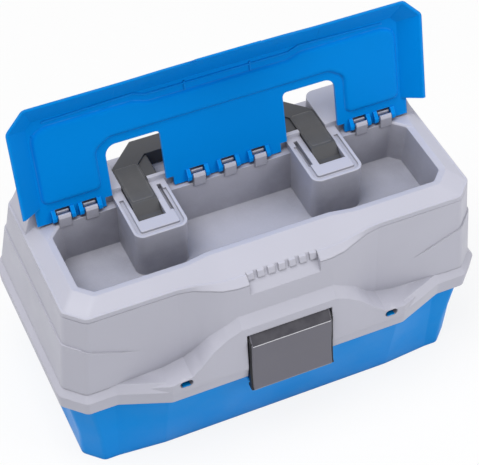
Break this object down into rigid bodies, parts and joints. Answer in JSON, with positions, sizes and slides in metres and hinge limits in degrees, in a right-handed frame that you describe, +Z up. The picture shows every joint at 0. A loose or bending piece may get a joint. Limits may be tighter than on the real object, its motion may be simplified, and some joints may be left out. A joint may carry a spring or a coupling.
{
  "type": "tackle box",
  "caption": "Moulded tackle box with chamfered tub, hinged lid, flip-top compartment, fold-down handle, front latch and a cantilever tray inside.",
  "frame": {"origin": "centre of the tub's underside, on the surface it stands on", "axes": "+X along the length, +Y from the latch to the rear hinges, +Z up"},
  "size_m": [0.333, 0.1947, 0.2795],
  "materials": {
    "blue_tub": "moulded, faint grain",
    "blue_flip": "moulded, satin",
    "grey_lid": "moulded, faint grain",
    "dark_grip": "moulded, satin",
    "dark_latch": "moulded, satin",
    "tray_plastic": "moulded",
    "link_plastic": "moulded",
    "steel": "drawn wire"
  },
  "bodies": {
    "tub": {"base_tub": "blue_tub", "hinge_pin_left": "steel", "hinge_pin_right": "steel", "link_rivet_left": "steel", "link_rivet_right": "steel"},
    "lid": {"lid_shell": "grey_lid", "latch_pin": "steel", "handle_pin_left": "steel", "handle_pin_right": "steel", "tray_pin_left": "steel", "tray_pin_right": "steel"},
    "flip": {"flip_lid": "blue_flip"},
    "grip": {"handle": "dark_grip"},
    "catch": {"latch": "dark_latch"},
    "tray_body": {"tray": "tray_plastic", "tray_divider_1": "tray_plastic", "tray_divider_2": "tray_plastic", "tray_divider_3": "tray_plastic", "tray_divider_4": "tray_plastic", "guide_rivet_left": "steel", "guide_rivet_right": "steel"},
    "links": {"tray_link_left": "link_plastic", "tray_link_right": "link_plastic"}
  },
  "joints": [
    {"name": "lid_hinge", "type": "hinge", "parent": "tub", "child": "lid", "pos_m": [0, 0.086, 0.079], "axis": [-1, 0, 0], "range_deg": [0, 95]},
    {"name": "flip_hinge", "type": "hinge", "parent": "lid", "child": "flip", "pos_m": [0, 0.011, 0.171], "axis": [1, 0, 0], "range_deg": [0, 104.7]},
    {"name": "handle_hinge", "type": "hinge", "parent": "lid", "child": "grip", "pos_m": [0, -0.008, 0.16], "axis": [1, 0, 0], "range_deg": [0, 38]},
    {"name": "latch_hinge", "type": "hinge", "parent": "lid", "child": "catch", "pos_m": [0, -0.092, 0.104], "axis": [-1, 0, 0], "range_deg": [0, 75]},
    {"name": "tray_pivot", "type": "hinge", "parent": "lid", "child": "tray_body", "pos_m": [0, 0.026, 0.104], "axis": [-1, 0, 0], "range_deg": [-95, 0]},
    {"name": "link_pivot", "type": "hinge", "parent": "tub", "child": "links", "pos_m": [0, 0.03, 0.06], "axis": [-1, 0, 0], "range_deg": [0, 95]}
  ],
  "couplings": [
    {"joint": "tray_pivot", "follows": "lid_hinge", "ratio": -1},
    {"joint": "link_pivot", "follows": "lid_hinge", "ratio": 1}
  ]
}
